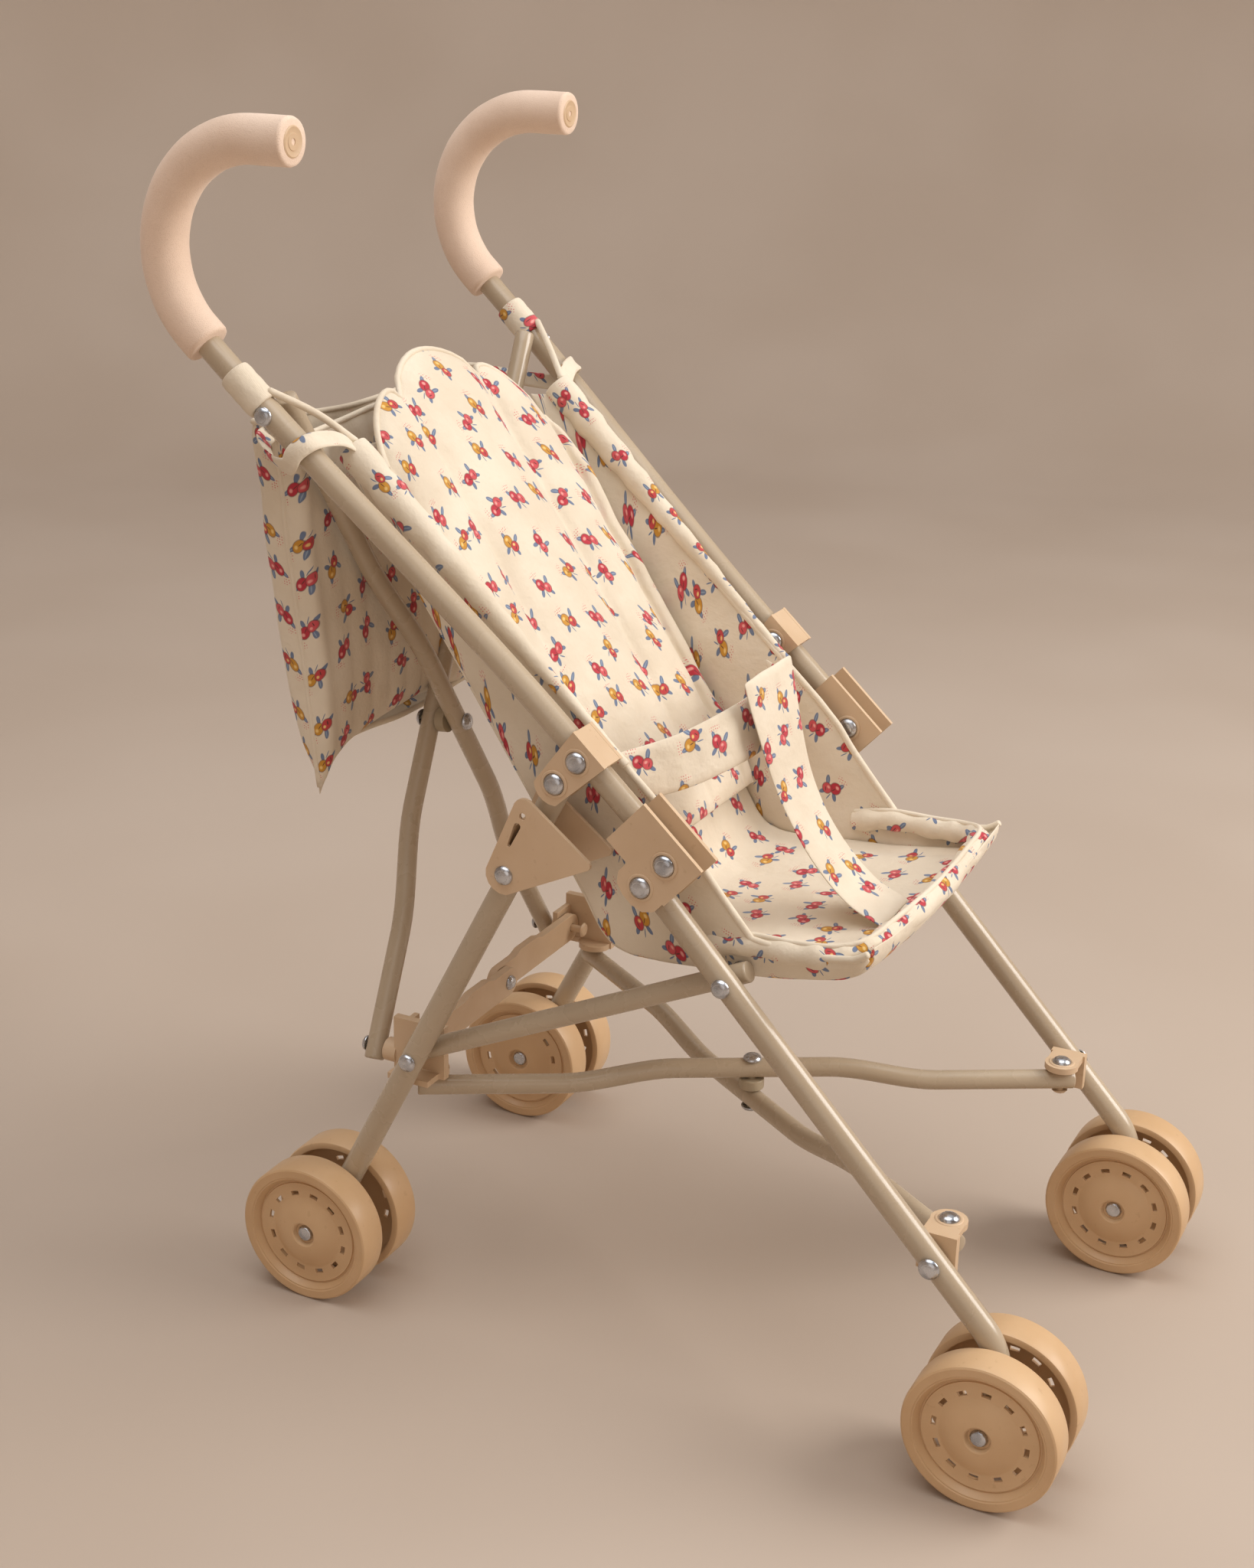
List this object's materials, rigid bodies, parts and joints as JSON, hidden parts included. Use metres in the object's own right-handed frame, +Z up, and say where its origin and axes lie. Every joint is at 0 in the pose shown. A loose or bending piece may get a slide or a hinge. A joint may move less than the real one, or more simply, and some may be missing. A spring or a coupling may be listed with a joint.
{
  "type": "doll stroller",
  "caption": "Folding toy stroller for dolls, with cane-hook handles, crossed tube bars, double wheels, a sewn reclining seat and a rear bag.",
  "frame": {"origin": "on the floor, under the middle of the bounding box", "axes": "+Z up, -Y the way the stroller faces, +X to its left side"},
  "size_m": [0.272, 0.4641, 0.5742],
  "materials": {
    "tube_enamel": "satin warm greige enamel",
    "tan_plastic": "satin moulded caramel tan",
    "wheel_plastic": "satin moulded camel",
    "grip_foam": "matte closed-cell foam, peach beige",
    "zinc_steel": "bright zinc plate",
    "pale_plastic": "satin pale moulded plastic",
    "printed_cotton": "cream cotton with a small scattered flower print, quilted in places"
  },
  "bodies": {
    "upper_right": {"handle_rail_right": "tube_enamel", "grip_right": "grip_foam", "grip_cap_right": "tan_plastic", "rail_bracket_right": "tan_plastic", "rail_loop_right": "printed_cotton", "seat_sling": "printed_cotton", "back_pad": "printed_cotton", "rear_bag": "printed_cotton", "waist_strap": "printed_cotton", "crotch_strap": "printed_cotton"},
    "upper_left": {"handle_rail_left": "tube_enamel", "grip_left": "grip_foam", "grip_cap_left": "tan_plastic", "rail_bracket_left": "tan_plastic", "rail_loop_left": "printed_cotton"},
    "front_leg_right": {"front_leg_right": "tube_enamel", "elbow_saddle_right": "tan_plastic", "elbow_pin_right": "zinc_steel", "link_pin_right": "zinc_steel", "front_axle_right": "zinc_steel"},
    "rear_leg_right": {"rear_leg_right": "tube_enamel", "leg_pin_right": "zinc_steel", "rear_bracket_right": "tan_plastic", "rear_axle_right": "zinc_steel"},
    "side_link_right": {"side_link_right": "tube_enamel"},
    "leg_catch_right": {"leg_catch_right": "tan_plastic"},
    "front_bracket_right": {"front_bracket_right": "tan_plastic"},
    "brace_arm_right": {"brace_arm_right": "tan_plastic"},
    "front_wheel_right_outer": {"front_wheel_right_outer": "wheel_plastic"},
    "front_wheel_right_inner": {"front_wheel_right_inner": "wheel_plastic"},
    "rear_wheel_right_outer": {"rear_wheel_right_outer": "wheel_plastic"},
    "rear_wheel_right_inner": {"rear_wheel_right_inner": "wheel_plastic"},
    "front_leg_left": {"front_leg_left": "tube_enamel", "elbow_saddle_left": "tan_plastic", "elbow_pin_left": "zinc_steel", "link_pin_left": "zinc_steel", "front_axle_left": "zinc_steel"},
    "rear_leg_left": {"rear_leg_left": "tube_enamel", "leg_pin_left": "zinc_steel", "rear_bracket_left": "tan_plastic", "rear_axle_left": "zinc_steel"},
    "side_link_left": {"side_link_left": "tube_enamel"},
    "leg_catch_left": {"leg_catch_left": "tan_plastic"},
    "front_bracket_left": {"front_bracket_left": "tan_plastic"},
    "brace_arm_left": {"brace_arm_left": "tan_plastic"},
    "front_wheel_left_outer": {"front_wheel_left_outer": "wheel_plastic"},
    "front_wheel_left_inner": {"front_wheel_left_inner": "wheel_plastic"},
    "rear_wheel_left_outer": {"rear_wheel_left_outer": "wheel_plastic"},
    "rear_wheel_left_inner": {"rear_wheel_left_inner": "wheel_plastic"},
    "lower_bar_right": {"lower_bar_right": "tube_enamel", "lower_spacer": "pale_plastic"},
    "lower_bar_left": {"lower_bar_left": "tube_enamel"},
    "back_bar_right": {"back_bar_right": "tube_enamel", "back_spacer": "pale_plastic"},
    "back_bar_left": {"back_bar_left": "tube_enamel"}
  },
  "joints": [
    {"name": "fold", "type": "hinge", "parent": "upper_right", "child": "front_leg_right", "pos_m": [-0.11, -0.03, 0.267], "axis": [-1, 0, 0], "range_deg": [0, 55], "deforming": ["seat_sling", "back_pad", "rear_bag", "waist_strap", "crotch_strap"]},
    {"name": "rear_leg_right_swing", "type": "hinge", "parent": "upper_right", "child": "rear_leg_right", "pos_m": [-0.11, 0.02493, 0.29506], "axis": [-1, 0, 0], "range_deg": [0, 28.3]},
    {"name": "side_link_right_swing", "type": "hinge", "parent": "front_leg_right", "child": "side_link_right", "pos_m": [-0.0984, -0.05793, 0.21309], "axis": [-1, 0, 0], "range_deg": [-28.7, 0]},
    {"name": "front_bracket_right_tilt", "type": "hinge", "parent": "front_leg_right", "child": "front_bracket_right", "pos_m": [-0.11, -0.16324, 0.10251], "axis": [-1, 0, 0], "range_deg": [-17, 0]},
    {"name": "lower_bar_right_swing", "type": "hinge", "parent": "front_bracket_right", "child": "lower_bar_right", "pos_m": [-0.088, -0.162, 0.103], "axis": [0, 0, 1], "range_deg": [0, 21.3]},
    {"name": "lower_bars_cross", "type": "hinge", "parent": "lower_bar_right", "child": "lower_bar_left", "pos_m": [0, -0.027, 0.107], "axis": [0, 0, 1], "range_deg": [-42.1, 0]},
    {"name": "front_bracket_left_turn", "type": "hinge", "parent": "lower_bar_left", "child": "front_bracket_left", "pos_m": [0.088, -0.162, 0.103], "axis": [0, 0, 1], "range_deg": [0, 21.3]},
    {"name": "front_leg_left_tilt", "type": "hinge", "parent": "front_bracket_left", "child": "front_leg_left", "pos_m": [0.11, -0.16324, 0.10251], "axis": [-1, 0, 0], "range_deg": [0, 17]},
    {"name": "elbow_left", "type": "hinge", "parent": "front_leg_left", "child": "upper_left", "pos_m": [0.11, -0.03, 0.267], "axis": [-1, 0, 0], "range_deg": [-55.5, 0]},
    {"name": "rear_leg_left_swing", "type": "hinge", "parent": "upper_left", "child": "rear_leg_left", "pos_m": [0.11, 0.02493, 0.29506], "axis": [-1, 0, 0], "range_deg": [0, 28.3]},
    {"name": "side_link_left_swing", "type": "hinge", "parent": "front_leg_left", "child": "side_link_left", "pos_m": [0.0984, -0.05793, 0.21309], "axis": [-1, 0, 0], "range_deg": [-28.7, 0]},
    {"name": "back_bar_right_swing", "type": "hinge", "parent": "rear_leg_right", "child": "back_bar_right", "pos_m": [-0.088, 0.14, 0.125], "axis": [0.5358, -0.7997, -0.2709], "range_deg": [0, 22.5]},
    {"name": "back_bar_left_swing", "type": "hinge", "parent": "rear_leg_left", "child": "back_bar_left", "pos_m": [0.088, 0.14, 0.125], "axis": [0.5358, 0.7997, 0.2709], "range_deg": [0, 22.5]},
    {"name": "brace_arm_right_fold", "type": "hinge", "parent": "rear_leg_right", "child": "brace_arm_right", "pos_m": [-0.08, 0.1154, 0.13], "axis": [0, -1, 0], "range_deg": [0, 64.8]},
    {"name": "brace_arm_left_fold", "type": "hinge", "parent": "rear_leg_left", "child": "brace_arm_left", "pos_m": [0.08, 0.1206, 0.13], "axis": [0, 1, 0], "range_deg": [0, 64.8]},
    {"name": "leg_catch_right_turn", "type": "hinge", "parent": "rear_leg_right", "child": "leg_catch_right", "pos_m": [-0.11, 0.04897, 0.24727], "axis": [-1, 0, 0], "range_deg": [0, 30]},
    {"name": "front_wheel_right_outer_spin", "type": "hinge", "parent": "front_leg_right", "child": "front_wheel_right_outer", "pos_m": [-0.11, -0.1966, 0.036], "axis": [-1, 0, 0], "continuous": true},
    {"name": "front_wheel_right_inner_spin", "type": "hinge", "parent": "front_leg_right", "child": "front_wheel_right_inner", "pos_m": [-0.11, -0.1966, 0.036], "axis": [-1, 0, 0], "continuous": true},
    {"name": "rear_wheel_right_outer_spin", "type": "hinge", "parent": "rear_leg_right", "child": "rear_wheel_right_outer", "pos_m": [-0.11, 0.1552, 0.036], "axis": [-1, 0, 0], "continuous": true},
    {"name": "rear_wheel_right_inner_spin", "type": "hinge", "parent": "rear_leg_right", "child": "rear_wheel_right_inner", "pos_m": [-0.11, 0.1552, 0.036], "axis": [-1, 0, 0], "continuous": true},
    {"name": "leg_catch_left_turn", "type": "hinge", "parent": "rear_leg_left", "child": "leg_catch_left", "pos_m": [0.11, 0.04897, 0.24727], "axis": [-1, 0, 0], "range_deg": [0, 30]},
    {"name": "front_wheel_left_outer_spin", "type": "hinge", "parent": "front_leg_left", "child": "front_wheel_left_outer", "pos_m": [0.11, -0.1966, 0.036], "axis": [-1, 0, 0], "continuous": true},
    {"name": "front_wheel_left_inner_spin", "type": "hinge", "parent": "front_leg_left", "child": "front_wheel_left_inner", "pos_m": [0.11, -0.1966, 0.036], "axis": [-1, 0, 0], "continuous": true},
    {"name": "rear_wheel_left_outer_spin", "type": "hinge", "parent": "rear_leg_left", "child": "rear_wheel_left_outer", "pos_m": [0.11, 0.1552, 0.036], "axis": [-1, 0, 0], "continuous": true},
    {"name": "rear_wheel_left_inner_spin", "type": "hinge", "parent": "rear_leg_left", "child": "rear_wheel_left_inner", "pos_m": [0.11, 0.1552, 0.036], "axis": [-1, 0, 0], "continuous": true}
  ],
  "couplings": [
    {"joint": "rear_leg_right_swing", "follows": "fold", "ratio": 0.505},
    {"joint": "side_link_right_swing", "follows": "fold", "ratio": -0.512},
    {"joint": "front_bracket_right_tilt", "follows": "fold", "ratio": -0.3},
    {"joint": "lower_bar_right_swing", "follows": "fold", "ratio": 0.378},
    {"joint": "lower_bars_cross", "follows": "fold", "ratio": -0.756},
    {"joint": "front_bracket_left_turn", "follows": "fold", "ratio": 0.378},
    {"joint": "front_leg_left_tilt", "follows": "fold", "ratio": 0.3},
    {"joint": "elbow_left", "follows": "fold", "ratio": -1},
    {"joint": "rear_leg_left_swing", "follows": "fold", "ratio": 0.505},
    {"joint": "side_link_left_swing", "follows": "fold", "ratio": -0.512},
    {"joint": "back_bar_right_swing", "follows": "fold", "ratio": 0.4},
    {"joint": "back_bar_left_swing", "follows": "fold", "ratio": 0.4},
    {"joint": "brace_arm_right_fold", "follows": "fold", "ratio": 1.17},
    {"joint": "brace_arm_left_fold", "follows": "fold", "ratio": 1.17}
  ]
}
